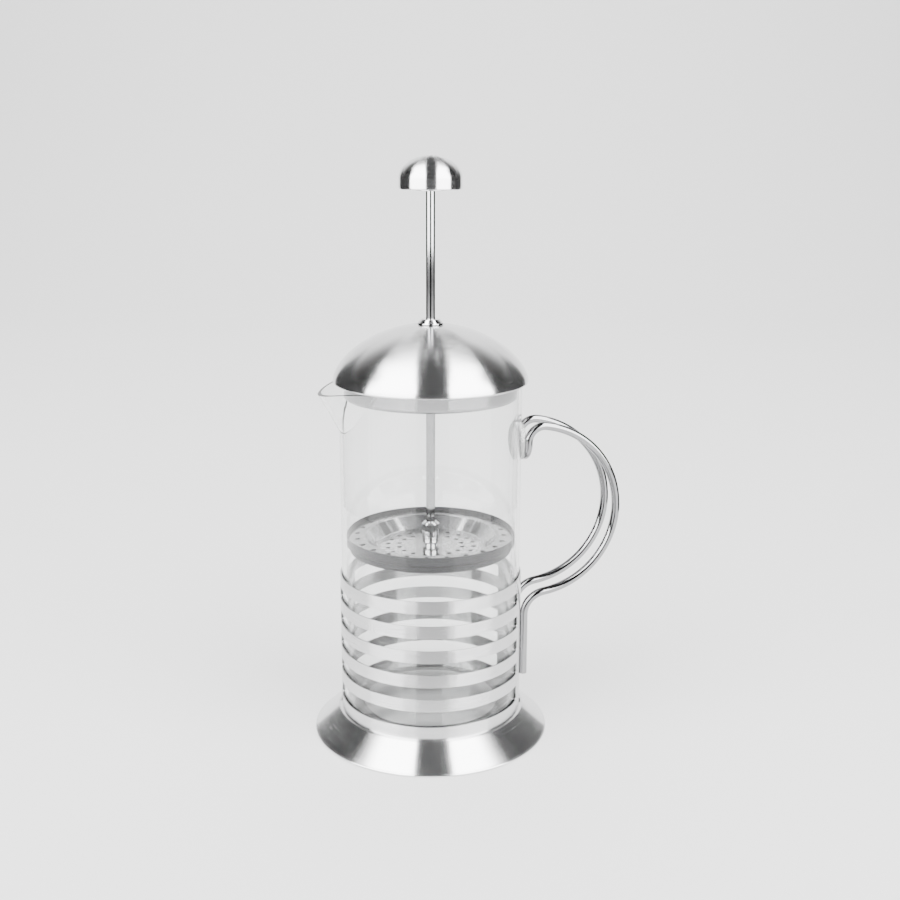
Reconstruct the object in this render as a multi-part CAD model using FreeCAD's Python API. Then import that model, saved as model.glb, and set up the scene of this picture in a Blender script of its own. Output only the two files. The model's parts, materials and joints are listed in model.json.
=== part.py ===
import FreeCAD, Part
import math
import os

# French press: a glass beaker that stands in a slotted steel frame, under a domed lid with a plunger.
#
# Millimetres, +Z up. The origin is the centre of the ring that the foot stands on. The handle points
# along +X and the pouring lip along -X. The plunger is drawn at mid stroke. Threads are plain cylinders.

# ---------------------------------------------------------------- driving dimensions

# Clearances
LIFT_GAP = 0.35          # radial, between pieces that lift in and out of each other
SLIDE_FIT = 0.05         # radial, between the rod and the bush that guides it
SEAT_GAP = 0.05          # between faces that rest on each other
THREAD_FIT = 0.10        # radial, between a screw and the piece it screws into
WELD_SINK = 0.03         # how far the handle's legs sink into the sleeve where they are welded

# Beaker
BEAKER_RADIUS = 44.9
BEAKER_HEIGHT = 168.5
GLASS_WALL = 2.0
GLASS_FLOOR = 2.6
BEAKER_CORNER = 6.0      # outside radius between the wall and the bottom

# Pouring lip
LIP_REACH = 10.5         # how far its tip stands out from the wall
LIP_DEPTH = 23.5         # from the rim down to where it runs into the wall
LIP_DROP = 4.2           # how far its tip lies below the rim
LIP_HALF_ANGLE = 38.0    # half of the part of the rim that it takes up, in degrees
LIP_NOSE = 3.2           # bluntness of its tip: 0 comes to a point
LIP_STEPS = 6            # spans between the outlines that it is lofted through

# Foot
FOOT_FLARE = 14.05       # how far it stands out from the sleeve
FOOT_HEIGHT = 12.7
FOOT_SHEET = 0.7
FOOT_BEAD = 0.8          # radius of the rolled edge
FOOT_LAND = 0.8          # width of the flat ring that it stands on
SHOULDER_WIDTH = 1.3     # flat ring outside the sleeve, before the cone starts
SHOULDER_ROUND = 1.4
SHELF_WIDTH = 10.9       # how far the shelf reaches in under the beaker

# Sleeve
SLEEVE_SHEET = 0.6
BAND_COUNT = 5
BAND_HEIGHT = 6.3
SLOT_HEIGHT = 6.3
LOWEST_SLOT_HEIGHT = 8.2
BOTTOM_BAND_HEIGHT = 6.4
SLOT_CORNER = 1.0
SLOT_SPANS = ((22.0, 145.5), (172.0, 329.5))      # degrees from the handle
TAB_COUNT = 4
TAB_FIRST_ANGLE = -14.0
TAB_WIDTH = 5.0
TAB_FOLD = 3.2           # length of the part that is folded in under the shelf
TAB_SLIT_GAP = 0.75      # room round a tab in its slit

# Handle
WIRE_RADIUS = 2.05
WIRE_SPACING = 17.0      # between the centre lines of the two wires
LEG_END_Z = 27.0
LEG_BEND = 12.0
GRIP_CENTRE_OUT = 5.15   # from the sleeve out to the centre of the grip's arc
GRIP_CENTRE_DROP = 66.6  # from the rim down to it
GRIP_RADIUS = 44.0
TOP_BEND = 8.0
PAD_WIDTH = 17.5
PAD_HEIGHT = 19.0
PAD_THICKNESS = 1.7      # at its middle
PAD_GRIP = 0.95          # how deep the wire lies in the pad
PAD_ROUND = 0.5
GROOVE_GAP = 0.02

# Lid
DOME_OVERHANG = 2.9      # how far it stands out over the beaker
DOME_HEIGHT = 27.0
DOME_SHEET = 0.7
DOME_SIDE_POWER = 2.02   # exponents of the dome's outline, a superellipse
DOME_TOP_POWER = 1.59
DOME_OVER_RIM = 1.5      # from the rim up to the dome's widest circle
DOME_STEPS = 12          # spans between the points that its outline is drawn through
HEM_RADIUS = 1.0
HEM_WIDTH = 0.7          # flat part of the hem, inside its bend
PAN_SHEET = 0.6
PAN_DEPTH = 7.0          # how deep the pan reaches into the beaker
PAN_CORNER = 1.8
PAN_BEND = 0.4           # between its wall and its flange
PAN_HOLE_GAP = 0.5       # radial, round the rod
BUSH_FLANGE_RADIUS = 6.3
BUSH_TOP_RADIUS = 4.3
BUSH_FLANGE_HEIGHT = 2.5
BUSH_EDGE_HEIGHT = 0.6
BUSH_ROUND = 0.3
BUSH_SHANK_RADIUS = 3.6
BUSH_SHANK_LENGTH = 5.5
LID_NUT_FLATS = 11.0
LID_NUT_HEIGHT = 3.0
WASHER_RADIUS = 7.2
WASHER_SHEET = 0.6

# Plunger
ROD_RADIUS = 2.25
ROD_LENGTH = 177.7
ROD_CHAMFER = 0.4
ROD_STUD_GAP = 1.2       # between the rod and the stud, inside the coupler
COUPLER_RADIUS = 4.3
COUPLER_LENGTH = 12.4
COUPLER_CHAMFER = 0.9
COUPLER_NECK_RADIUS = 3.1
COUPLER_NECK_LENGTH = 1.3    # its turned down end, which stands on the plate
KNOB_RADIUS = 15.1
KNOB_DOME = 10.7         # height of the elliptical top
KNOB_WALL = 4.2          # height of the straight wall
KNOB_SHEET = 0.7
KNOB_ROUND = 1.0
KNOB_GRIP = 9.5          # how far the rod's end stands above the knob's bottom face
CORE_DISC = 1.9
CORE_RECESS = 0.3
BOSS_RADIUS = 7.0
BOSS_DROP = 0.5          # from the rod's end down to the boss
KNOB_NUT_FLATS = 8.0
KNOB_NUT_HEIGHT = 4.0
NUT_POCKET_GAP = 0.05

# Filter
FILTER_Z = 97.6          # top face of the plate's floor, at mid stroke
PLATE_SHEET = 0.6
PLATE_LIP_GAP = 0.8      # from the mesh's lip in to the plate's edge
PLATE_EDGE = 0.9         # height of the plate's turned down edge
PLATE_EDGE_ROUND = 0.8
PLATE_RIM_RISE = 5.3     # from the floor up to the outer edge
PLATE_CROWN_RISE = 5.9   # from the floor up to the inner edge of the flat ring
PLATE_RING_WIDTH = 8.2
DISH_SLOPE_WIDTH = 6.2
DISH_TOP_ROUND = 1.4
DISH_FLOOR_ROUND = 1.0
RING_HOLE_COUNT = 24
RING_HOLE_RADIUS = 1.4
RING_HOLE_INSET = 4.6    # from the plate's edge
FLOOR_HOLE_RADIUS = 1.2
FLOOR_HOLE_RINGS = ((20, 5.5), (16, 11.2))       # count, and inset from the floor's edge
MESH_SHEET = 0.35
MESH_WALL_GAP = 0.5      # radial, between the mesh's lip and the glass
MESH_FLARE = 1.7         # how far the lip stands out from the wall
MESH_HEIGHT = 8.7
MESH_CORNER = 1.5
MESH_LIP_ROUND = 0.8
MESH_LIP_START = 3.2     # height at which the wall starts to flare
MESH_LIP_FULL = 4.5      # height at which the lip is upright again
SPRING_GAP = 0.2         # between the spring and the mesh's wall
SPRING_COIL_RADIUS = 1.9
GROMMET_RADIUS = 6.0
GROMMET_SHEET = 0.3
CROSS_SHEET = 0.9
CROSS_INSET = 4.2        # from the mesh's wall
CROSS_RING_WIDTH = 6.0
CROSS_ARMS = 4
CROSS_ARM_WIDTH = 9.0
CROSS_HUB_RADIUS = 9.0
STUD_RADIUS = 2.35
STUD_HEAD_RADIUS = 5.5
STUD_HEAD_HEIGHT = 1.2
STUD_ENGAGEMENT = 6.3    # length of stud inside the coupler

# ---------------------------------------------------------------- sizes worked out from them

SHELF_TOP = FOOT_HEIGHT
RIM_Z = SHELF_TOP + BEAKER_HEIGHT
BEAKER_BORE = BEAKER_RADIUS - GLASS_WALL
SLEEVE_INNER = BEAKER_RADIUS + LIFT_GAP
SLEEVE_OUTER = SLEEVE_INNER + SLEEVE_SHEET
FOOT_RADIUS = SLEEVE_OUTER + FOOT_FLARE
SHELF_HOLE_RADIUS = BEAKER_RADIUS - SHELF_WIDTH
GRIP_CENTRE_X = SLEEVE_OUTER + GRIP_CENTRE_OUT
GRIP_CENTRE_Z = RIM_Z - GRIP_CENTRE_DROP
DOME_RADIUS = BEAKER_RADIUS + DOME_OVERHANG
DOME_BASE_Z = RIM_Z + DOME_OVER_RIM
DOME_APEX_Z = DOME_BASE_Z + DOME_HEIGHT
PAN_FLANGE_Z = RIM_Z + SEAT_GAP
PAN_RADIUS = BEAKER_BORE - LIFT_GAP - SEAT_GAP
PAN_FLOOR_Z = RIM_Z - PAN_DEPTH
PAN_HOLE_RADIUS = ROD_RADIUS + PAN_HOLE_GAP
BUSH_BASE_Z = DOME_APEX_Z - SEAT_GAP
COUPLER_BASE_Z = FILTER_Z
COUPLER_TOP_Z = COUPLER_BASE_Z + COUPLER_LENGTH
ROD_BASE_Z = COUPLER_BASE_Z + STUD_ENGAGEMENT + ROD_STUD_GAP
ROD_TOP_Z = ROD_BASE_Z + ROD_LENGTH
KNOB_BASE_Z = ROD_TOP_Z - KNOB_GRIP
MESH_LIP_RADIUS = BEAKER_BORE - MESH_WALL_GAP
MESH_RADIUS = MESH_LIP_RADIUS - MESH_FLARE
PLATE_RADIUS = MESH_LIP_RADIUS - PLATE_LIP_GAP
DISH_TOP_RADIUS = PLATE_RADIUS - PLATE_RING_WIDTH
DISH_FLOOR_RADIUS = DISH_TOP_RADIUS - DISH_SLOPE_WIDTH
SPRING_RING_RADIUS = MESH_RADIUS - MESH_SHEET - SPRING_GAP - SPRING_COIL_RADIUS
CROSS_RADIUS = MESH_RADIUS - CROSS_INSET
MESH_HOLE_RADIUS = STUD_RADIUS + THREAD_FIT + GROMMET_SHEET + SEAT_GAP
PLATE_BOTTOM_Z = FILTER_Z - PLATE_SHEET
GROMMET_TOP_Z = PLATE_BOTTOM_Z - SEAT_GAP
MESH_BOTTOM_Z = GROMMET_TOP_Z - GROMMET_SHEET - MESH_SHEET
GROMMET_BOTTOM_Z = MESH_BOTTOM_Z - GROMMET_SHEET
CROSS_TOP_Z = GROMMET_BOTTOM_Z - SEAT_GAP
CROSS_BOTTOM_Z = CROSS_TOP_Z - CROSS_SHEET
STUD_TOP_Z = COUPLER_BASE_Z + STUD_ENGAGEMENT
PAD_INNER = BEAKER_RADIUS + LIFT_GAP
WIRE_OFFSET = WIRE_SPACING / 2

Z_AXIS = FreeCAD.Vector(0, 0, 1)
ORIGIN = FreeCAD.Vector(0, 0, 0)


# ---------------------------------------------------------------- helpers

def at(x, y, z):
    return FreeCAD.Vector(x, y, z)


def in_section(r, z):
    """A point of a revolved section, drawn in the XZ plane."""
    return FreeCAD.Vector(r, 0, z)


def turned(shape, degrees):
    copy = shape.copy()
    copy.rotate(ORIGIN, Z_AXIS, degrees)
    return copy


def polygon_edges(points):
    return [Part.LineSegment(a, b).toShape() for a, b in zip(points, points[1:])]


def revolved(edges, start=0.0, angle=360.0):
    """Solid swept by a closed section about Z, from one angle over a span of degrees."""
    face = Part.Face(Part.Wire(Part.__sortEdges__(edges)))
    solid = face.revolve(ORIGIN, Z_AXIS, angle)
    if solid.Volume < 0:
        solid.reverse()
    return turned(solid, start)


def revolved_polygon(section, start=0.0, angle=360.0):
    points = [in_section(r, z) for r, z in section]
    return revolved(polygon_edges(points + points[:1]), start, angle)


def ring(inner, outer, bottom, top, start=0.0, angle=360.0):
    section = [(inner, bottom), (outer, bottom), (outer, top), (inner, top)]
    return revolved_polygon(section, start, angle)


def disc(radius, bottom, top):
    return Part.makeCylinder(radius, top - bottom, at(0, 0, bottom))


def hexagon(flats, bottom, top):
    corner = flats / math.sqrt(3)
    points = [at(corner * math.cos(math.radians(60 * i)), corner * math.sin(math.radians(60 * i)), bottom)
              for i in range(7)]
    return Part.Face(Part.makePolygon(points)).extrude(at(0, 0, top - bottom))


def rounded_path(points, radii):
    """Lines through the points, with an arc of the given radius at each inner point (0 is sharp)."""
    edges = []
    start = points[0]
    for previous, corner, following, radius in zip(points, points[1:], points[2:], radii):
        back = (previous - corner).normalize()
        ahead = (following - corner).normalize()
        half_angle = math.acos(max(-1.0, min(1.0, back.dot(ahead)))) / 2
        if radius <= 0:
            edges.append(Part.LineSegment(start, corner).toShape())
            start = corner
            continue
        tangent = radius / math.tan(half_angle)
        middle = (back + ahead).normalize() * (radius / math.sin(half_angle) - radius)
        entry = corner + back * tangent
        leave = corner + ahead * tangent
        edges.append(Part.LineSegment(start, entry).toShape())
        edges.append(Part.Arc(entry, corner + middle, leave).toShape())
        start = leave
    edges.append(Part.LineSegment(start, points[-1]).toShape())
    return edges


def sheet(section, radii, thickness):
    """Revolved sheet metal: the section is one face of the sheet, and the metal lies on its left."""
    face_side = [in_section(r, z) for r, z in section]
    normals = []
    for a, b in zip(face_side, face_side[1:]):
        along = (b - a).normalize()
        normals.append(at(-along.z, 0, along.x) * thickness)
    back_side = [face_side[0] + normals[0]]
    back_radii = []
    for corner, before, after, radius in zip(face_side[1:], normals, normals[1:], radii):
        shift = (before + after) * (thickness ** 2 / (thickness ** 2 + before.dot(after)))
        back_side.append(corner + shift)
        turns_left = before.x * after.z - before.z * after.x > 0
        change = -thickness if turns_left else thickness
        back_radii.append(max(radius + change, 0.0) if radius > 0 else 0.0)
    back_side.append(face_side[-1] + normals[-1])
    edges = rounded_path(face_side, radii)
    edges += [Part.LineSegment(face_side[-1], back_side[-1]).toShape()]
    edges += rounded_path(back_side, back_radii)
    edges += [Part.LineSegment(face_side[0], back_side[0]).toShape()]
    return revolved(edges)


def export(name, shape):
    solids = shape.Solids
    if not solids or not shape.isValid() or min(s.Volume for s in solids) <= 0:
        raise ValueError(name + " is not a sound solid")
    shape = solids[0] if len(solids) == 1 else Part.makeCompound(solids)
    shape.exportStep("parts/" + name + ".step")


# ---------------------------------------------------------------- beaker

def lip_section(height, inset):
    """Closed outline of the pouring lip at one height, drawn towards -X and inset by the glass wall."""
    share = (height - (RIM_Z - LIP_DEPTH)) / (LIP_DEPTH - LIP_DROP)
    radius = BEAKER_RADIUS - inset
    half_angle = math.radians(LIP_HALF_ANGLE) * math.sqrt(share)
    root_x = radius * math.cos(half_angle)
    root_y = radius * math.sin(half_angle)
    tip = radius + LIP_REACH * share
    pole_x = (4 * tip - root_x) / 3
    pole_y = min(LIP_NOSE, root_y / 2)
    curve = Part.BezierCurve()
    curve.setPoles([at(-root_x, root_y, height), at(-pole_x, pole_y, height),
                    at(-pole_x, -pole_y, height), at(-root_x, -root_y, height)])
    back = Part.LineSegment(at(-root_x, -root_y, height), at(-root_x, root_y, height))
    return Part.Wire([curve.toShape(), back.toShape()])


def lip_solid(inset):
    bottom_share = 0.04
    top_share = 1.0 + (LIP_DROP + 2 * GLASS_WALL) / (LIP_DEPTH - LIP_DROP)
    shares = [bottom_share + (top_share - bottom_share) * i / LIP_STEPS for i in range(LIP_STEPS + 1)]
    heights = [RIM_Z - LIP_DEPTH + share * (LIP_DEPTH - LIP_DROP) for share in shares]
    return Part.makeLoft([lip_section(height, inset) for height in heights], True)


def above_rim():
    """Everything over the rim, whose line sinks towards the tip of the lip."""
    start_x = -BEAKER_RADIUS * math.cos(math.radians(LIP_HALF_ANGLE + 6))
    tip_x = -(BEAKER_RADIUS + LIP_REACH)
    far_x = 2 * tip_x
    top_z = RIM_Z + LIP_DEPTH
    dip = Part.BezierCurve()
    dip.setPoles([at(start_x, 0, RIM_Z), at((start_x + tip_x) / 2, 0, RIM_Z), at(tip_x, 0, RIM_Z - LIP_DROP)])
    slope = at(start_x - tip_x, 0, 2 * LIP_DROP)
    far = at(tip_x, 0, RIM_Z - LIP_DROP) - slope * ((far_x - tip_x) / (tip_x - start_x))
    edges = [Part.LineSegment(at(-far_x, 0, RIM_Z), at(start_x, 0, RIM_Z)).toShape(), dip.toShape()]
    edges += polygon_edges([at(tip_x, 0, RIM_Z - LIP_DROP), far, at(far_x, 0, top_z), at(-far_x, 0, top_z),
                            at(-far_x, 0, RIM_Z)])
    face = Part.Face(Part.Wire(edges))
    face.translate(at(0, far_x, 0))
    return face.extrude(at(0, -2 * far_x, 0))


def cup(radius, bottom, top, corner):
    """Solid of revolution with a rounded bottom edge."""
    points = [in_section(0, top), in_section(0, bottom), in_section(radius, bottom), in_section(radius, top)]
    edges = rounded_path(points, [0.0, corner])
    return revolved(edges + [Part.LineSegment(points[3], points[0]).toShape()])


def beaker():
    top = RIM_Z + 2 * GLASS_WALL
    outer = cup(BEAKER_RADIUS, SHELF_TOP, top, BEAKER_CORNER)
    inner = cup(BEAKER_BORE, SHELF_TOP + GLASS_FLOOR, top + GLASS_WALL, BEAKER_CORNER - GLASS_WALL)
    glass = outer.fuse(lip_solid(0.0)).cut(inner.fuse(lip_solid(GLASS_WALL)))
    return glass.cut(above_rim()).removeSplitter()


# ---------------------------------------------------------------- frame

def tab_angles():
    return [TAB_FIRST_ANGLE + 360.0 * i / TAB_COUNT for i in range(TAB_COUNT)]


def sector(inner, outer, bottom, top, middle_angle, width):
    """Piece of a ring whose chord at the sleeve is the given width."""
    angle = math.degrees(width / SLEEVE_OUTER)
    return ring(inner, outer, bottom, top, middle_angle - angle / 2, angle)


def base_flange():
    cone_start = SLEEVE_OUTER + SHOULDER_WIDTH
    bead_x = FOOT_RADIUS - FOOT_BEAD
    bead_z = math.sqrt(FOOT_BEAD ** 2 - (FOOT_LAND / 2) ** 2)
    section = [(bead_x + FOOT_BEAD / 2, FOOT_BEAD * 1.6), (cone_start, SHELF_TOP), (SHELF_HOLE_RADIUS, SHELF_TOP)]
    flange = sheet(section, [SHOULDER_ROUND + FOOT_SHEET], FOOT_SHEET)
    bead = Part.makeTorus(bead_x, FOOT_BEAD, at(0, 0, bead_z)).cut(disc(FOOT_RADIUS, -FOOT_BEAD, 0))
    flange = flange.fuse(bead)
    for angle in tab_angles():
        flange = flange.cut(sector(SLEEVE_INNER - 0.1, SLEEVE_OUTER + TAB_SLIT_GAP, SHELF_TOP - 3 * FOOT_SHEET,
                                   SHELF_TOP + 1, angle, TAB_WIDTH + TAB_SLIT_GAP))
    return flange


def slot_bottoms():
    lowest = SHELF_TOP + BOTTOM_BAND_HEIGHT
    heights = [(lowest, LOWEST_SLOT_HEIGHT)]
    for i in range(BAND_COUNT - 1):
        heights.append((lowest + LOWEST_SLOT_HEIGHT + BAND_HEIGHT + i * (SLOT_HEIGHT + BAND_HEIGHT), SLOT_HEIGHT))
    return heights


def sleeve_row(bottom, top, slot_bottom, slot_height):
    """One slice of the sleeve, with the slots of one height cut through it."""
    row = ring(SLEEVE_INNER, SLEEVE_OUTER, bottom, top)
    for start, end in SLOT_SPANS:
        cutter = ring(SLEEVE_INNER - 2, SLEEVE_OUTER + 2, slot_bottom, slot_bottom + slot_height, start, end - start)
        radial = [e for e in cutter.Edges if e.Curve.TypeId == "Part::GeomLine" and e.BoundBox.ZLength < 0.01]
        row = row.cut(cutter.makeFillet(SLOT_CORNER, radial))
    return row


def frame_sleeve():
    rows = []
    bottom = SHELF_TOP
    for slot_bottom, slot_height in slot_bottoms():
        is_last = len(rows) == BAND_COUNT - 1
        top = slot_bottom + slot_height + (BAND_HEIGHT if is_last else BAND_HEIGHT / 2)
        rows.append(sleeve_row(bottom, top, slot_bottom, slot_height))
        bottom = top
    fold_top = SHELF_TOP - FOOT_SHEET - SEAT_GAP
    for angle in tab_angles():
        rows.append(sector(SLEEVE_INNER, SLEEVE_OUTER, fold_top, SHELF_TOP, angle, TAB_WIDTH))
        rows.append(sector(SLEEVE_INNER - TAB_FOLD, SLEEVE_OUTER, fold_top - SLEEVE_SHEET, fold_top, angle,
                           TAB_WIDTH))
    return rows[0].fuse(rows[1:])


def arc_between(centre, radius, start_angle, end_angle, offset):
    """Arc in a plane parallel to XZ, at the given Y."""
    points = []
    for angle in (start_angle, (start_angle + end_angle) / 2, end_angle):
        turn = math.radians(angle)
        points.append(at(centre[0] + radius * math.cos(turn), offset, centre[1] + radius * math.sin(turn)))
    return Part.Arc(*points).toShape(), points[0], points[-1]


def handle_side(offset):
    """Centre line of one wire of the handle, from its welded end up to the pad."""
    leg_x = math.sqrt((SLEEVE_OUTER + WIRE_RADIUS - WELD_SINK) ** 2 - WIRE_OFFSET ** 2)
    leg_centre_x = leg_x + LEG_BEND
    leg_reach = GRIP_RADIUS + LEG_BEND
    leg_centre_z = GRIP_CENTRE_Z - math.sqrt(leg_reach ** 2 - (leg_centre_x - GRIP_CENTRE_X) ** 2)
    leg_angle = math.degrees(math.atan2(leg_centre_z - GRIP_CENTRE_Z, leg_centre_x - GRIP_CENTRE_X))
    top_x, top_centre_z = top_bend_centre()
    top_angle = math.degrees(math.atan2(top_centre_z - GRIP_CENTRE_Z, top_x - GRIP_CENTRE_X))
    grip_centre = (GRIP_CENTRE_X, GRIP_CENTRE_Z)
    leg, leg_start, _ = arc_between((leg_centre_x, leg_centre_z), LEG_BEND, 180, leg_angle + 180, offset)
    grip, _, _ = arc_between(grip_centre, GRIP_RADIUS, leg_angle, top_angle, offset)
    top, _, _ = arc_between((top_x, top_centre_z), TOP_BEND, top_angle, 180, offset)
    foot = Part.LineSegment(at(leg_x, offset, LEG_END_Z), leg_start).toShape()
    return [foot, leg, grip, top]


def pad_wire_x():
    """Distance from the beaker's axis to the wire that lies in the pad."""
    return PAD_INNER + PAD_THICKNESS + WIRE_RADIUS - PAD_GRIP


def top_bend_centre():
    centre_x = pad_wire_x() + TOP_BEND
    reach = GRIP_RADIUS - TOP_BEND
    return centre_x, GRIP_CENTRE_Z + math.sqrt(reach ** 2 - (centre_x - GRIP_CENTRE_X) ** 2)


def handle_pipe(radius):
    _, turn_z = top_bend_centre()
    x = pad_wire_x()
    turn = Part.Arc(at(x, -WIRE_OFFSET, turn_z), at(x, 0, turn_z - WIRE_OFFSET), at(x, WIRE_OFFSET, turn_z)).toShape()
    path = handle_side(-WIRE_OFFSET) + [turn] + handle_side(WIRE_OFFSET)[::-1]
    start = path[0].Vertexes[0].Point
    section = Part.Wire(Part.Circle(start, Z_AXIS, radius).toShape())
    return Part.Wire(Part.__sortEdges__(path)).makePipeShell([section], True, False)


def handle_pad():
    _, turn_z = top_bend_centre()
    middle_z = turn_z - WIRE_OFFSET - WIRE_RADIUS + PAD_HEIGHT / 2
    stretch = FreeCAD.Matrix()
    stretch.scale(1, 1, PAD_HEIGHT / PAD_WIDTH)
    outline = Part.Circle(ORIGIN, at(1, 0, 0), PAD_WIDTH / 2).toShape().transformGeometry(stretch)
    face = Part.Face(Part.Wire(outline))
    start_x = PAD_INNER - PAD_WIDTH / 3
    face.translate(at(start_x, 0, middle_z))
    block = face.extrude(at(PAD_INNER + PAD_THICKNESS - start_x, 0, 0))
    front = [e for e in block.Edges if e.BoundBox.XMin > PAD_INNER + PAD_THICKNESS - 0.1]
    block = block.makeFillet(PAD_ROUND, front)
    pad = block.cut(disc(PAD_INNER, 0, RIM_Z))
    return pad.cut(handle_pipe(WIRE_RADIUS + GROOVE_GAP))


# ---------------------------------------------------------------- lid

def dome_curve(radius, height, end_radius):
    """Half outline of the dome from its widest circle to the hole at its top."""
    end_turn = math.acos((end_radius / radius) ** (DOME_SIDE_POWER / 2))
    points = []
    for i in range(DOME_STEPS + 1):
        turn = end_turn * i / DOME_STEPS
        r = radius * math.cos(turn) ** (2 / DOME_SIDE_POWER)
        z = DOME_BASE_Z + height * math.sin(turn) ** (2 / DOME_TOP_POWER)
        points.append(in_section(r, z))
    curve = Part.BSplineCurve()
    curve.interpolate(points)
    return curve.toShape(), points[0], points[-1]


def lid_dome():
    hole = BUSH_SHANK_RADIUS + SEAT_GAP
    outer, outer_start, outer_end = dome_curve(DOME_RADIUS, DOME_HEIGHT, hole)
    inner, inner_start, inner_end = dome_curve(DOME_RADIUS - DOME_SHEET, DOME_HEIGHT - DOME_SHEET, hole)
    bend_r = DOME_RADIUS - HEM_RADIUS
    edge_r = bend_r - HEM_WIDTH
    small = HEM_RADIUS - DOME_SHEET
    diagonal = math.sqrt(0.5)
    outer_bend = Part.Arc(outer_start, in_section(bend_r + HEM_RADIUS * diagonal, DOME_BASE_Z - HEM_RADIUS * diagonal),
                          in_section(bend_r, DOME_BASE_Z - HEM_RADIUS)).toShape()
    inner_bend = Part.Arc(inner_start, in_section(bend_r + small * diagonal, DOME_BASE_Z - small * diagonal),
                          in_section(bend_r, DOME_BASE_Z - small)).toShape()
    hem = polygon_edges([in_section(bend_r, DOME_BASE_Z - HEM_RADIUS), in_section(edge_r, DOME_BASE_Z - HEM_RADIUS),
                         in_section(edge_r, DOME_BASE_Z - small), in_section(bend_r, DOME_BASE_Z - small)])
    top = Part.LineSegment(outer_end, inner_end).toShape()
    return revolved([outer, inner, outer_bend, inner_bend, top] + hem)


def lid_pan():
    step_z = DOME_BASE_Z - (HEM_RADIUS - DOME_SHEET) + SEAT_GAP
    flange_outer = DOME_RADIUS - DOME_SHEET - 4 * SEAT_GAP
    step_r = DOME_RADIUS - HEM_RADIUS - HEM_WIDTH - 2 * PAN_SHEET
    section = [(flange_outer, step_z), (step_r + PAN_SHEET, step_z), (step_r, PAN_FLANGE_Z),
               (PAN_RADIUS, PAN_FLANGE_Z), (PAN_RADIUS, PAN_FLOOR_Z), (PAN_HOLE_RADIUS, PAN_FLOOR_Z)]
    return sheet(section[::-1], [PAN_CORNER, PAN_BEND, 0.0, 0.0], PAN_SHEET)


def lid_bushing():
    top = BUSH_BASE_Z + BUSH_FLANGE_HEIGHT + SEAT_GAP
    base = DOME_APEX_Z
    bore = ROD_RADIUS + SLIDE_FIT
    body = revolved_polygon([(bore, base - BUSH_SHANK_LENGTH), (BUSH_SHANK_RADIUS, base - BUSH_SHANK_LENGTH),
                             (BUSH_SHANK_RADIUS, base), (BUSH_FLANGE_RADIUS, base),
                             (BUSH_FLANGE_RADIUS, base + BUSH_EDGE_HEIGHT), (BUSH_TOP_RADIUS, top), (bore, top)])
    upper = [e for e in body.Edges if e.BoundBox.ZMin > base + BUSH_EDGE_HEIGHT - 0.01 and e.BoundBox.ZLength < 0.01
             and e.BoundBox.XLength > 2 * bore + 1]
    return body.makeFillet(BUSH_ROUND, upper)


def washer_top():
    """Height at which the washer's edge meets the inside of the dome."""
    share = (WASHER_RADIUS / (DOME_RADIUS - DOME_SHEET)) ** DOME_SIDE_POWER
    rise = (DOME_HEIGHT - DOME_SHEET) * (1 - share) ** (1 / DOME_TOP_POWER)
    return DOME_BASE_Z + rise - SEAT_GAP


def lid_washer():
    return ring(BUSH_SHANK_RADIUS + SEAT_GAP, WASHER_RADIUS, washer_top() - WASHER_SHEET, washer_top())


def lid_nut():
    top = washer_top() - WASHER_SHEET
    return hexagon(LID_NUT_FLATS, top - LID_NUT_HEIGHT, top).cut(
        disc(BUSH_SHANK_RADIUS + SEAT_GAP, top - LID_NUT_HEIGHT - 1, top + 1))


# ---------------------------------------------------------------- plunger

def plunger_rod():
    rod = disc(ROD_RADIUS, ROD_BASE_Z, ROD_TOP_Z)
    return rod.makeChamfer(ROD_CHAMFER, [e for e in rod.Edges if e.BoundBox.ZLength < 0.01])


def rod_coupler():
    body = disc(COUPLER_RADIUS, COUPLER_BASE_Z + COUPLER_NECK_LENGTH, COUPLER_TOP_Z)
    body = body.makeChamfer(COUPLER_CHAMFER, [e for e in body.Edges if e.BoundBox.ZLength < 0.01])
    body = body.fuse(disc(COUPLER_NECK_RADIUS, COUPLER_BASE_Z, COUPLER_BASE_Z + COUPLER_NECK_LENGTH))
    body = body.cut(disc(STUD_RADIUS + THREAD_FIT, COUPLER_BASE_Z - 1, ROD_BASE_Z))
    return body.cut(disc(ROD_RADIUS + SEAT_GAP, ROD_BASE_Z - 1, COUPLER_TOP_Z + 1))


def knob_blank(inset):
    """The knob's outside shape, filled, and inset by a sheet's thickness."""
    wall_z = KNOB_BASE_Z + KNOB_ROUND + KNOB_WALL
    radius = KNOB_RADIUS - inset
    stretch = FreeCAD.Matrix()
    stretch.scale(1, 1, (KNOB_DOME - inset) / radius)
    top = Part.makeSphere(radius, ORIGIN, Z_AXIS, 0, 90).transformGeometry(stretch)
    top.translate(at(0, 0, wall_z))
    wall = disc(radius, KNOB_BASE_Z, wall_z)
    if inset == 0:
        wall = wall.makeFillet(KNOB_ROUND, [e for e in wall.Edges if e.BoundBox.ZMax < KNOB_BASE_Z + 0.1])
    return wall.fuse(top)


def knob_shell():
    shell = knob_blank(0.0).cut(knob_blank(KNOB_SHEET))
    lip = ring(KNOB_RADIUS - KNOB_ROUND, KNOB_RADIUS - KNOB_SHEET / 2, KNOB_BASE_Z, KNOB_BASE_Z + KNOB_SHEET)
    hem = lip.common(knob_blank(0.0))
    return shell.fuse(hem).removeSplitter()


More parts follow.
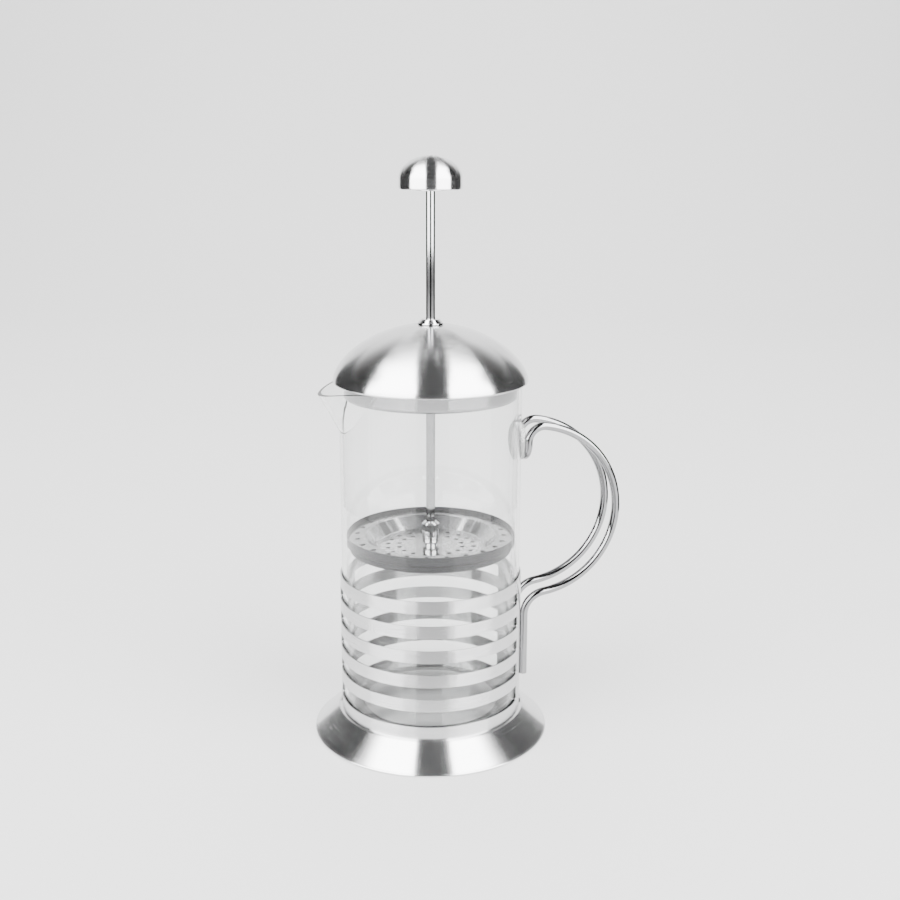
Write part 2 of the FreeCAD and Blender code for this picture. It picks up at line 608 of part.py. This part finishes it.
def knob_core():
    disc_radius = KNOB_RADIUS - KNOB_ROUND - SEAT_GAP
    bottom = KNOB_BASE_Z + CORE_RECESS
    pocket_floor = ROD_TOP_Z - KNOB_NUT_HEIGHT
    boss_top = ROD_TOP_Z - BOSS_DROP
    body = disc(disc_radius, bottom, bottom + CORE_DISC).fuse(disc(BOSS_RADIUS, bottom, boss_top))
    pocket = hexagon(KNOB_NUT_FLATS + 2 * NUT_POCKET_GAP, pocket_floor, boss_top + 1)
    return body.cut(pocket).cut(disc(ROD_RADIUS + SEAT_GAP, bottom - 1, boss_top + 1)).removeSplitter()


def knob_nut():
    bottom = ROD_TOP_Z - KNOB_NUT_HEIGHT + NUT_POCKET_GAP
    top = bottom + KNOB_NUT_HEIGHT - 2 * NUT_POCKET_GAP
    return hexagon(KNOB_NUT_FLATS, bottom, top).cut(disc(ROD_RADIUS + SEAT_GAP, bottom - 1, top + 1))


# ---------------------------------------------------------------- filter

def hole_ring(count, ring_radius, hole_radius):
    """Drills for a ring of holes through the plate."""
    drills = []
    for i in range(count):
        turn = 2 * math.pi * i / count
        drills.append(Part.makeCylinder(hole_radius, 2 * PLATE_CROWN_RISE,
                                        at(ring_radius * math.cos(turn), ring_radius * math.sin(turn),
                                           FILTER_Z - PLATE_CROWN_RISE / 2)))
    return drills


def filter_plate():
    edge_z = FILTER_Z + PLATE_RIM_RISE
    crown_z = FILTER_Z + PLATE_CROWN_RISE
    section = [(PLATE_RADIUS, edge_z - PLATE_EDGE), (PLATE_RADIUS, edge_z), (DISH_TOP_RADIUS, crown_z),
               (DISH_FLOOR_RADIUS, FILTER_Z), (STUD_RADIUS + THREAD_FIT, FILTER_Z)]
    plate = sheet(section, [PLATE_EDGE_ROUND, DISH_TOP_ROUND, DISH_FLOOR_ROUND], PLATE_SHEET)
    drills = hole_ring(RING_HOLE_COUNT, PLATE_RADIUS - RING_HOLE_INSET, RING_HOLE_RADIUS)
    for count, inset in FLOOR_HOLE_RINGS:
        drills += hole_ring(count, DISH_FLOOR_RADIUS - inset, FLOOR_HOLE_RADIUS)
    return plate.cut(drills)


def filter_mesh():
    z = MESH_BOTTOM_Z
    section = [(MESH_HOLE_RADIUS, z), (MESH_RADIUS, z), (MESH_RADIUS, z + MESH_LIP_START),
               (MESH_LIP_RADIUS, z + MESH_LIP_FULL), (MESH_LIP_RADIUS, z + MESH_HEIGHT)]
    return sheet(section, [MESH_CORNER, MESH_LIP_ROUND, MESH_LIP_ROUND], MESH_SHEET)


def mesh_grommet():
    tube_inner = STUD_RADIUS + THREAD_FIT
    tube = ring(tube_inner, tube_inner + GROMMET_SHEET, GROMMET_BOTTOM_Z, GROMMET_TOP_Z)
    lower = ring(tube_inner, GROMMET_RADIUS, GROMMET_BOTTOM_Z, MESH_BOTTOM_Z)
    upper = ring(tube_inner, GROMMET_RADIUS, GROMMET_TOP_Z - GROMMET_SHEET, GROMMET_TOP_Z)
    return tube.fuse([lower, upper]).removeSplitter()


def filter_spring():
    """The ring that a bent coil spring fills. It presses the mesh's edge outwards."""
    middle_z = MESH_BOTTOM_Z + MESH_SHEET + SPRING_COIL_RADIUS + SEAT_GAP
    return Part.makeTorus(SPRING_RING_RADIUS, SPRING_COIL_RADIUS, at(0, 0, middle_z))


def cross_plate():
    plate = ring(CROSS_RADIUS - CROSS_RING_WIDTH, CROSS_RADIUS, CROSS_BOTTOM_Z, CROSS_TOP_Z)
    hub = disc(CROSS_HUB_RADIUS, CROSS_BOTTOM_Z, CROSS_TOP_Z)
    arm = Part.makeBox(CROSS_RADIUS - CROSS_RING_WIDTH / 2, CROSS_ARM_WIDTH, CROSS_SHEET,
                       at(0, -CROSS_ARM_WIDTH / 2, CROSS_BOTTOM_Z))
    arms = [turned(arm, 360.0 * i / CROSS_ARMS) for i in range(CROSS_ARMS)]
    plate = plate.fuse([hub] + arms).removeSplitter()
    return plate.cut(disc(STUD_RADIUS + SEAT_GAP, CROSS_BOTTOM_Z - 1, CROSS_TOP_Z + 1))


def filter_stud():
    head = disc(STUD_HEAD_RADIUS, CROSS_BOTTOM_Z - STUD_HEAD_HEIGHT, CROSS_BOTTOM_Z)
    low_edge = [e for e in head.Edges if e.BoundBox.ZMax < CROSS_BOTTOM_Z - STUD_HEAD_HEIGHT + 0.01]
    head = head.makeFillet(STUD_HEAD_HEIGHT * 0.7, low_edge)
    return head.fuse(disc(STUD_RADIUS, CROSS_BOTTOM_Z, STUD_TOP_Z)).removeSplitter()


# ---------------------------------------------------------------- write the parts

PIECES = {
    "beaker": beaker,
    "base_flange": base_flange,
    "frame_sleeve": frame_sleeve,
    "handle_wire": lambda: handle_pipe(WIRE_RADIUS),
    "handle_pad": handle_pad,
    "lid_dome": lid_dome,
    "lid_pan": lid_pan,
    "lid_bushing": lid_bushing,
    "lid_washer": lid_washer,
    "lid_nut": lid_nut,
    "plunger_rod": plunger_rod,
    "rod_coupler": rod_coupler,
    "knob_shell": knob_shell,
    "knob_core": knob_core,
    "knob_nut": knob_nut,
    "filter_plate": filter_plate,
    "filter_spring": filter_spring,
    "filter_mesh": filter_mesh,
    "mesh_grommet": mesh_grommet,
    "cross_plate": cross_plate,
    "filter_stud": filter_stud,
}

os.makedirs("parts", exist_ok=True)
for name, make in PIECES.items():
    export(name, make())
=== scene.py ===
import json
import math

import bmesh
import bpy
from mathutils import Matrix, Vector


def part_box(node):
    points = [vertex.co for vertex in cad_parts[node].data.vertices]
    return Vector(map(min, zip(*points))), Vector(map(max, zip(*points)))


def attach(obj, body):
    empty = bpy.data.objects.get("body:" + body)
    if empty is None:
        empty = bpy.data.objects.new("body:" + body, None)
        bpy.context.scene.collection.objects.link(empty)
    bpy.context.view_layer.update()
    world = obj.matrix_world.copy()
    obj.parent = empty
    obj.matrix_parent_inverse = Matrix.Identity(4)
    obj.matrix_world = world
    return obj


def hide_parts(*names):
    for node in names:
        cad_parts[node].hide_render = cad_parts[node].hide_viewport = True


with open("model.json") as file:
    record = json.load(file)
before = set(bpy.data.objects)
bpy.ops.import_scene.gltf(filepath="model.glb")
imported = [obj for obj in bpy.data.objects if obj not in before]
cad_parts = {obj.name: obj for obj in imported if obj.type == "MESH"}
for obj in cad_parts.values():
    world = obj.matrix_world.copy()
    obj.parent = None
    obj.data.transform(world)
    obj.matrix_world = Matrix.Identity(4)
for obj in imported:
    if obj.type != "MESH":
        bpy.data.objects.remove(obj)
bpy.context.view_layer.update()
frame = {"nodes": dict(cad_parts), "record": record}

nodes = frame["nodes"]


# ---------------------------------------------------------------- material helpers

NOISE_RANGE = (0.3, 0.7)    # most of a noise pattern's values lie between these


def new_material(name):
    material = bpy.data.materials.new(name)
    material.use_nodes = True
    shader = material.node_tree.nodes["Principled BSDF"]
    return material, material.node_tree, shader


def stretched(tree, vector, scale):
    mapping = tree.nodes.new("ShaderNodeMapping")
    mapping.inputs["Scale"].default_value = scale
    tree.links.new(vector, mapping.inputs["Vector"])
    return mapping.outputs["Vector"]


def coordinates(tree, scale=(1, 1, 1)):
    """Object coordinates in metres, stretched for the pattern that reads them."""
    source = tree.nodes.new("ShaderNodeTexCoord")
    return stretched(tree, source.outputs["Object"], scale)


def turning_coordinates(tree, scale):
    """Radius, angle and height about Z, so that a pattern runs round a spun piece."""
    source = tree.nodes.new("ShaderNodeTexCoord")
    split = tree.nodes.new("ShaderNodeSeparateXYZ")
    tree.links.new(source.outputs["Object"], split.inputs["Vector"])
    flat = tree.nodes.new("ShaderNodeCombineXYZ")
    tree.links.new(split.outputs["X"], flat.inputs["X"])
    tree.links.new(split.outputs["Y"], flat.inputs["Y"])
    radius = tree.nodes.new("ShaderNodeVectorMath")
    radius.operation = "LENGTH"
    tree.links.new(flat.outputs["Vector"], radius.inputs[0])
    angle = tree.nodes.new("ShaderNodeMath")
    angle.operation = "ARCTAN2"
    tree.links.new(split.outputs["Y"], angle.inputs[0])
    tree.links.new(split.outputs["X"], angle.inputs[1])
    joined = tree.nodes.new("ShaderNodeCombineXYZ")
    tree.links.new(radius.outputs["Value"], joined.inputs["X"])
    tree.links.new(angle.outputs["Value"], joined.inputs["Y"])
    tree.links.new(split.outputs["Z"], joined.inputs["Z"])
    return stretched(tree, joined.outputs["Vector"], scale)


def noise(tree, vector, scale, detail):
    node = tree.nodes.new("ShaderNodeTexNoise")
    node.inputs["Scale"].default_value = scale
    node.inputs["Detail"].default_value = detail
    tree.links.new(vector, node.inputs["Vector"])
    return node.outputs["Fac"]


def spread(tree, value, low, high):
    """Maps a noise pattern's usual range onto the wanted one."""
    node = tree.nodes.new("ShaderNodeMapRange")
    node.inputs["From Min"].default_value = NOISE_RANGE[0]
    node.inputs["From Max"].default_value = NOISE_RANGE[1]
    node.inputs["To Min"].default_value = low
    node.inputs["To Max"].default_value = high
    tree.links.new(value, node.inputs["Value"])
    return node.outputs["Result"]


def tint(tree, value, dark, light, value_range=NOISE_RANGE):
    ramp = tree.nodes.new("ShaderNodeValToRGB")
    for stop, position, color in zip(ramp.color_ramp.elements, value_range, (dark, light)):
        stop.position = position
        stop.color = (*color, 1)
    tree.links.new(value, ramp.inputs["Fac"])
    return ramp.outputs["Color"]


def shade(color, share):
    return [channel * share for channel in color]


def bump(tree, value, shader, strength, distance):
    node = tree.nodes.new("ShaderNodeBump")
    node.inputs["Strength"].default_value = strength
    node.inputs["Distance"].default_value = distance
    tree.links.new(value, node.inputs["Height"])
    tree.links.new(node.outputs["Normal"], shader.inputs["Normal"])


# ---------------------------------------------------------------- materials

# Greys of the metals, from the lightest to the darkest. The greys of the rod and the handle wire
# hold painted shade: both are polished steel, toned darker than steel to stand in for their darker
# reflections.
STEEL = (0.80, 0.80, 0.805)
SATIN = (0.66, 0.66, 0.665)
PLAIN = (0.62, 0.62, 0.63)
PLATE = (0.38, 0.38, 0.385)
ROD_WITH_PAINTED_SHADE = (0.34, 0.34, 0.345)
WIRE_WITH_PAINTED_SHADE = (0.29, 0.29, 0.295)

# How far patterns about Z are stretched in radius, angle and height.
SPUN_MARKS = (4200, 3, 4200)
BRUSHED_GRAIN = (3500, 6, 3500)
UPRIGHT_THREADS = (60, 260, 1)
LEVEL_THREADS = (1, 1, 14000)

SPUN_STRETCH = 0.98      # how far the marks of a spun piece stretch a highlight
ACROSS_THE_MARKS = 0.25  # of a turn


def run_round(tree, shader):
    """Fine marks that run round the Z axis stretch each highlight across them."""
    tangent = tree.nodes.new("ShaderNodeTangent")
    tangent.direction_type = "RADIAL"
    tangent.axis = "Z"
    tree.links.new(tangent.outputs["Tangent"], shader.inputs["Tangent"])
    shader.inputs["Anisotropic"].default_value = SPUN_STRETCH
    shader.inputs["Anisotropic Rotation"].default_value = ACROSS_THE_MARKS


def polished_metal(name, grey, roughness, spun=False):
    """Polished steel with fine marks. spun marks run round the piece, the others lie at random."""
    material, tree, shader = new_material(name)
    shader.inputs["Metallic"].default_value = 1.0
    smears = noise(tree, coordinates(tree), scale=45.0, detail=4.0)
    tone = tint(tree, smears, shade(grey, 0.94), shade(grey, 1.03))
    tree.links.new(tone, shader.inputs["Base Color"])
    if spun:
        marks = noise(tree, turning_coordinates(tree, SPUN_MARKS), scale=1.0, detail=2.0)
    else:
        marks = noise(tree, coordinates(tree), scale=900.0, detail=2.0)
    mix = tree.nodes.new("ShaderNodeMix")
    mix.inputs["Factor"].default_value = 0.5
    tree.links.new(smears, mix.inputs["A"])
    tree.links.new(marks, mix.inputs["B"])
    polish = spread(tree, mix.outputs["Result"], low=roughness * 0.75, high=roughness * 1.35)
    tree.links.new(polish, shader.inputs["Roughness"])
    bump(tree, marks, shader, strength=0.05 if spun else 0.03, distance=0.00003)
    if spun:
        run_round(tree, shader)
    return material


def brushed_metal(name, grey, roughness):
    material, tree, shader = new_material(name)
    shader.inputs["Metallic"].default_value = 1.0
    grain = noise(tree, turning_coordinates(tree, BRUSHED_GRAIN), scale=1.0, detail=3.0)
    tree.links.new(tint(tree, grain, shade(grey, 0.88), grey), shader.inputs["Base Color"])
    polish = spread(tree, grain, low=roughness * 0.8, high=roughness * 1.3)
    tree.links.new(polish, shader.inputs["Roughness"])
    bump(tree, grain, shader, strength=0.15, distance=0.00004)
    return material


def woven_metal(name):
    """Fine wire cloth: two crossed waves give the weave, which runs round and up the cup."""
    material, tree, shader = new_material(name)
    shader.inputs["Metallic"].default_value = 1.0
    threads = []
    for bands, scale in (("Y", UPRIGHT_THREADS), ("Z", LEVEL_THREADS)):
        wave = tree.nodes.new("ShaderNodeTexWave")
        wave.bands_direction = bands
        wave.inputs["Scale"].default_value = 0.5
        wave.inputs["Distortion"].default_value = 0.4
        tree.links.new(turning_coordinates(tree, scale), wave.inputs["Vector"])
        threads.append(wave.outputs["Fac"])
    weave = tree.nodes.new("ShaderNodeMath")
    weave.operation = "MULTIPLY"
    for thread, socket in zip(threads, weave.inputs):
        tree.links.new(thread, socket)
    woven = weave.outputs["Value"]
    # Painted shade: the cloth's steel is toned nearly black, darkest between the wires, to stand in
    # for the shade in and behind the fine weave.
    tone = tint(tree, woven, (0.008, 0.008, 0.009), (0.09, 0.09, 0.095), value_range=(0.05, 0.8))
    tree.links.new(tone, shader.inputs["Base Color"])
    shader.inputs["Roughness"].default_value = 0.42
    bump(tree, woven, shader, strength=0.6, distance=0.0001)
    return material


def clear_glass(name):
    """Glass with a faint haze, and with waves drawn out along its height."""
    material, tree, shader = new_material(name)
    shader.inputs["Transmission Weight"].default_value = 1.0
    shader.inputs["IOR"].default_value = 1.47
    haze = noise(tree, coordinates(tree), scale=60.0, detail=3.0)
    tone = tint(tree, haze, (0.975, 0.982, 0.98), (0.995, 0.998, 0.997))
    tree.links.new(tone, shader.inputs["Base Color"])
    tree.links.new(spread(tree, haze, low=0.0, high=0.012), shader.inputs["Roughness"])
    drawn = noise(tree, coordinates(tree, (1, 1, 0.1)), scale=55.0, detail=1.0)
    bump(tree, drawn, shader, strength=0.04, distance=0.0002)
    return material


def clear_plastic(name):
    material, tree, shader = new_material(name)
    shader.inputs["Transmission Weight"].default_value = 0.85
    shader.inputs["IOR"].default_value = 1.46
    cloud = noise(tree, coordinates(tree), scale=260.0, detail=3.0)
    tone = tint(tree, cloud, (0.80, 0.81, 0.80), (0.93, 0.94, 0.93))
    tree.links.new(tone, shader.inputs["Base Color"])
    tree.links.new(spread(tree, cloud, low=0.14, high=0.26), shader.inputs["Roughness"])
    bump(tree, cloud, shader, strength=0.08, distance=0.0001)
    return material


def moulded_plastic(name):
    material, tree, shader = new_material(name)
    grain = noise(tree, coordinates(tree), scale=1800.0, detail=2.0)
    tone = tint(tree, grain, (0.016, 0.016, 0.017), (0.03, 0.03, 0.031))
    tree.links.new(tone, shader.inputs["Base Color"])
    tree.links.new(spread(tree, grain, low=0.42, high=0.56), shader.inputs["Roughness"])
    bump(tree, grain, shader, strength=0.2, distance=0.00008)
    return material


MATERIALS = {
    "borosilicate_glass": clear_glass("glass"),
    "polished_steel": polished_metal("mirror_steel", STEEL, roughness=0.07),
    "spun_steel": polished_metal("spun_steel", STEEL, roughness=0.21, spun=True),
    "brushed_steel": brushed_metal("plain_steel", PLAIN, roughness=0.28),
    "woven_mesh": woven_metal("wire_cloth"),
    "clear_plastic": clear_plastic("clear_plastic"),
    "black_plastic": moulded_plastic("black_plastic"),
    # Painted shade: the wire and the rod are polished steel, and their darker greys stand in for
    # their darker reflections.
    "drawn_wire": polished_metal("drawn_wire", WIRE_WITH_PAINTED_SHADE, roughness=0.09),
    "drawn_rod": polished_metal("drawn_rod", ROD_WITH_PAINTED_SHADE, roughness=0.07),
    "spun_pan": polished_metal("spun_pan", PLATE, roughness=0.16, spun=True),
    "satin_sleeve": polished_metal("satin_sleeve", SATIN, roughness=0.22, spun=True),
    "polished_plate": polished_metal("polished_plate", PLATE, roughness=0.14, spun=True),
}

# Nodes whose look is nearer to another metal than to their slot's usual one. The handle wire and the
# plunger rod get polished steel whose grey is darkened with painted shade.
NODE_LOOKS = {
    "frame_sleeve": "satin_sleeve",
    "handle_wire": "drawn_wire",
    "plunger_rod": "drawn_rod",
    "lid_pan": "spun_pan",
    "filter_plate": "polished_plate",
}

for entry in frame["record"]["subparts"]:
    look = NODE_LOOKS.get(entry["node"], entry["material_slot"])
    for material_slot in nodes[entry["node"]].material_slots:
        material_slot.material = MATERIALS[look]


# ---------------------------------------------------------------- filter spring

SPRING_TURNS = 64
POINTS_PER_TURN = 10
SPRING_WIRE = 0.00032    # radius of the wire


def coil_spring():
    """The real coil, bent into a ring, in the room that the plain CAD ring takes up."""
    low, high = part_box("filter_spring")
    coil = (high[2] - low[2]) / 2 - SPRING_WIRE
    ring = (high[0] - low[0]) / 2 - coil - SPRING_WIRE
    middle = (high[2] + low[2]) / 2
    curve = bpy.data.curves.new("filter_coil", "CURVE")
    curve.dimensions = "3D"
    curve.bevel_depth = SPRING_WIRE
    curve.bevel_resolution = 3
    line = curve.splines.new("NURBS")
    count = SPRING_TURNS * POINTS_PER_TURN
    line.points.add(count - 1)
    for i, point in enumerate(line.points):
        along_ring = 2 * math.pi * i / count
        along_turn = 2 * math.pi * i / POINTS_PER_TURN
        reach = ring + coil * math.cos(along_turn)
        height = middle + coil * math.sin(along_turn)
        point.co = (reach * math.cos(along_ring), reach * math.sin(along_ring), height, 1)
    line.order_u = 3
    line.use_cyclic_u = True
    spring = bpy.data.objects.new("filter_coil", curve)
    bpy.context.collection.objects.link(spring)
    curve.materials.append(MATERIALS["brushed_steel"])
    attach(spring, "plunger")
    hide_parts("filter_spring")


coil_spring()


# ---------------------------------------------------------------- stage

# Places on the stage are in the camera's directions, which are turned by this from the frame's.
VIEW_TURN = math.radians(-13.0)

FLOOR_SIZE = 6.0
FLOOR_TONE = 0.80
SWEEP_START = 1.5        # from the press to where the floor starts to curve up into the wall
SWEEP_RADIUS = 0.8
SWEEP_STEPS = 24


def in_view(place):
    """A place given as right, away and up in the camera's directions, in the frame's own."""
    return Matrix.Rotation(VIEW_TURN, 3, "Z") @ Vector(place)


def matt_material(name, tone):
    material, tree, shader = new_material(name)
    cloud = noise(tree, coordinates(tree), scale=3.0, detail=2.0)
    light = (tone, tone, tone)
    tree.links.new(tint(tree, cloud, shade(light, 0.99), light), shader.inputs["Base Color"])
    shader.inputs["Roughness"].default_value = 0.7
    shader.inputs["Specular IOR Level"].default_value = 0.15
    return material


def seamless_floor():
    """Floor that curves up into a back wall behind the object, as the camera sees it."""
    profile = [(-FLOOR_SIZE, 0.0), (SWEEP_START, 0.0)]
    for i in range(1, SWEEP_STEPS + 1):
        turn = math.pi / 2 * i / SWEEP_STEPS
        along = SWEEP_START + SWEEP_RADIUS * math.sin(turn)
        profile.append((along, SWEEP_RADIUS * (1 - math.cos(turn))))
    profile.append((SWEEP_START + SWEEP_RADIUS, FLOOR_SIZE))
    mesh = bmesh.new()
    for along, up in profile:
        mesh.verts.new((-FLOOR_SIZE, along, up))
        mesh.verts.new((FLOOR_SIZE, along, up))
    mesh.verts.ensure_lookup_table()
    for i in range(len(profile) - 1):
        a, b = 2 * i, 2 * i + 1
        mesh.faces.new((mesh.verts[a], mesh.verts[b], mesh.verts[b + 2], mesh.verts[a + 2]))
    turned = Matrix.Rotation(VIEW_TURN, 3, "Z")
    bmesh.ops.rotate(mesh, verts=mesh.verts, cent=(0, 0, 0), matrix=turned)
    data = bpy.data.meshes.new("studio_floor")
    mesh.to_mesh(data)
    mesh.free()
    for face in data.polygons:
        face.use_smooth = True
    floor = bpy.data.objects.new("studio_floor", data)
    bpy.context.collection.objects.link(floor)
    data.materials.append(matt_material("studio_floor", FLOOR_TONE))


seamless_floor()


# ---------------------------------------------------------------- lights and reflections

# The area lights light the scene but don't show in reflections. What the polished steel shows
# is mostly a set of curved cards round the press: bright softbox faces, and dark flags between.
# Azimuths are in degrees, from the camera towards its right. Heights and distances are metres.

PRESS_MIDDLE = 0.12      # height of the point that the lights and panels stand round

SOFTBOX_TURN = math.radians(47)
SOFTBOX_DISTANCE = 1.0
SOFTBOX_HEIGHT = 1.05
SOFTBOX_SIZE = (1.0, 1.6)
SOFTBOX_POWER = 42.0

TOP_FILL = {"place": (0, 0.9, 2.6), "target": (0, 0.75, 0), "size": (3.4, 2.6), "power": 125.0}
BACKDROP_LIGHT = {"place": (0, 0.9, 1.9), "target": (0, 2.3, 0.9), "size": (3.0, 0.8), "power": 40.0}
WORLD_LEVEL = 0.02

GLOW_LEVEL = 14.0
FLAG_TONE = 0.01
NEAR_FLOOR_TONE = 0.32

CARD_STEPS = 12
PANEL_DISTANCE = 1.0
PANEL_HEIGHT = (2.0, 84.0)       # elevations, in degrees
SOFTBOX_EDGES = {"left": (-77.0, -16.0), "right": (23.0, 77.0)}
OVERHEAD_EDGES = (76.0, 104.0)
OVERHEAD_HEIGHT = (52.0, 84.0)   # elevations, in degrees

FLAG_EDGES = (79.0, 140.0)
FLAG_DISTANCE = 0.42
FLAG_HEIGHT = (0.0, 0.42)

GAP_EDGES = (-0.27, 0.38)        # of the dark gap between the softboxes, at the floor
GAP_TURN = (2.0, 142.0)          # how far it runs, up from the front and over to the back
GAP_TAPER = 0.55                 # how much narrower it is at its far end
GAP_DISTANCE = 0.9

FRONT_EDGE = 0.42                # from the press to where the light part of the table ends
FAR_EDGE = 3.5
NEAR_EDGE = 0.10                 # from the press to where the grey patch in front of it starts
NEAR_EDGES = (-28.0, 28.0)
PATCH_LIFT = 0.001


def area_light(name, place, target, size, power):
    """Light that no reflection shows, at a place given as right, away and up."""
    light = bpy.data.lights.new(name, "AREA")
    light.shape = "RECTANGLE"
    light.size, light.size_y = size
    light.energy = power
    lamp = bpy.data.objects.new(name, light)
    lamp.location = in_view(place)
    aim = in_view(target) - lamp.location
    lamp.rotation_euler = aim.to_track_quat("-Z", "Y").to_euler()
    lamp.visible_glossy = False
    lamp.visible_camera = False
    bpy.context.collection.objects.link(lamp)


def glowing_material(name, brightness):
    material = bpy.data.materials.new(name)
    material.use_nodes = True
    tree = material.node_tree
    tree.nodes.clear()
    emission = tree.nodes.new("ShaderNodeEmission")
    emission.inputs["Strength"].default_value = brightness
    out = tree.nodes.new("ShaderNodeOutputMaterial")
    tree.links.new(emission.outputs["Emission"], out.inputs["Surface"])
    return material


def between(ends, share):
    return ends[0] + share * (ends[1] - ends[0])


def around(azimuth, distance, height):
    """A point round the object. Azimuth 0 is towards the camera, and positive is to its right."""
    turn = math.radians(azimuth)
    return in_view((distance * math.sin(turn), -distance * math.cos(turn), height))


def reflection_card(name, corner, material, through_glass=False):
    """Curved card that only reflections show. corner(u, v) gives its points, u and v from 0 to 1.

    through_glass lets it show in what the glass bends towards it as well.
    """
    mesh = bmesh.new()
    shares = [i / CARD_STEPS for i in range(CARD_STEPS + 1)]
    rows = [[mesh.verts.new(corner(u, v)) for u in shares] for v in shares]
    for low, high in zip(rows, rows[1:]):
        for i in range(CARD_STEPS):
            mesh.faces.new((low[i], low[i + 1], high[i + 1], high[i]))
    data = bpy.data.meshes.new(name)
    mesh.to_mesh(data)
    mesh.free()
    card = bpy.data.objects.new(name, data)
    bpy.context.collection.objects.link(card)
    data.materials.append(material)
    card.visible_camera = False
    card.visible_diffuse = False
    card.visible_shadow = False
    card.visible_transmission = through_glass


def panel(name, azimuths, elevations, material):
    """Part of a sphere round the object, as the bright face of a softbox."""
    def corner(u, v):
        elevation = math.radians(between(elevations, v))
        height = PRESS_MIDDLE + PANEL_DISTANCE * math.sin(elevation)
        return around(between(azimuths, u), PANEL_DISTANCE * math.cos(elevation), height)
    reflection_card(name, corner, material, through_glass=True)


def standing_card(name, azimuths, heights, material):
    """Upright flag close beside the object: the foot shows more of it than the lid does."""
    def corner(u, v):
        return around(between(azimuths, u), FLAG_DISTANCE, between(heights, v))
    reflection_card(name, corner, material)


def dark_gap(name, material):
    """Dark strip that runs from the front over the top of the object, between the two softboxes."""
    def corner(u, v):
        side = (1 - GAP_TAPER * v) * between(GAP_EDGES, u)
        turn = math.radians(between(GAP_TURN, v))
        reach = math.sqrt(1 - side ** 2)
        place = Vector((side, -reach * math.cos(turn), reach * math.sin(turn))) * GAP_DISTANCE
        return in_view(place + Vector((0, 0, PRESS_MIDDLE)))
    reflection_card(name, corner, material, through_glass=True)


def floor_patch(name, azimuths, reach, material):
    """Card just above the table that only reflections show: the polished steel shows the table
    darker there.
    """
    def corner(u, v):
        return around(between(azimuths, u), between(reach, v), PATCH_LIFT)
    reflection_card(name, corner, material)


def one_side(side, sign, glow, flag):
    """The light on one side of the press, and the cards that its steel shows there."""
    across = sign * SOFTBOX_DISTANCE * math.sin(SOFTBOX_TURN)
    place = (across, -SOFTBOX_DISTANCE * math.cos(SOFTBOX_TURN), SOFTBOX_HEIGHT)
    overhead = [sign * edge for edge in OVERHEAD_EDGES]
    beside = [sign * edge for edge in FLAG_EDGES]
    area_light("softbox_" + side, place, (0, 0, PRESS_MIDDLE), SOFTBOX_SIZE, SOFTBOX_POWER)
    panel("softbox_face_" + side, SOFTBOX_EDGES[side], PANEL_HEIGHT, glow)
    panel("overhead_" + side, overhead, OVERHEAD_HEIGHT, glow)
    standing_card("flag_" + side, beside, FLAG_HEIGHT, flag)
    floor_patch("side_floor_" + side, beside, (FRONT_EDGE, FAR_EDGE), flag)


def lights_and_reflections():
    glow = glowing_material("softbox_face", GLOW_LEVEL)
    flag = matt_material("flag", FLAG_TONE)
    for side, sign in (("left", -1), ("right", 1)):
        one_side(side, sign, glow, flag)
    front = (SOFTBOX_EDGES["left"][1], SOFTBOX_EDGES["right"][0])
    floor_patch("front_floor", front, (FRONT_EDGE, FAR_EDGE), flag)
    near = matt_material("near_floor", NEAR_FLOOR_TONE)
    floor_patch("near_floor", NEAR_EDGES, (NEAR_EDGE, FRONT_EDGE), near)
    dark_gap("dark_gap", flag)
    area_light("top_fill", **TOP_FILL)
    area_light("backdrop_light", **BACKDROP_LIGHT)


def dim_world():
    world = bpy.data.worlds.new("studio")
    world.use_nodes = True
    background = world.node_tree.nodes["Background"]
    background.inputs["Color"].default_value = (1, 1, 1, 1)
    background.inputs["Strength"].default_value = WORLD_LEVEL
    bpy.context.scene.world = world


lights_and_reflections()
dim_world()


# ---------------------------------------------------------------- camera

CAMERA_RIGHT = 0.00961
CAMERA_BACK = 0.6015
CAMERA_HEIGHT = 0.2979
CAMERA_PITCH = 14.099    # degrees below level
CAMERA_ROLL = 0.193      # degrees
CAMERA_LENS = 50.0       # millimetres, as the sensor's width is
CAMERA_SENSOR = 36.0
CAMERA_NEAREST = 0.01


def front_camera():
    camera_data = bpy.data.cameras.new("camera")
    camera_data.lens = CAMERA_LENS
    camera_data.sensor_width = CAMERA_SENSOR
    camera_data.clip_start = CAMERA_NEAREST
    camera = bpy.data.objects.new("camera", camera_data)
    bpy.context.collection.objects.link(camera)
    side = Matrix.Rotation(VIEW_TURN, 4, "Z")
    place = Matrix.Translation((CAMERA_RIGHT, -CAMERA_BACK, CAMERA_HEIGHT))
    tilt = Matrix.Rotation(math.radians(90 - CAMERA_PITCH), 4, "X")
    roll = Matrix.Rotation(math.radians(CAMERA_ROLL), 4, "Z")
    camera.matrix_world = side @ place @ tilt @ roll
    bpy.context.scene.camera = camera


front_camera()
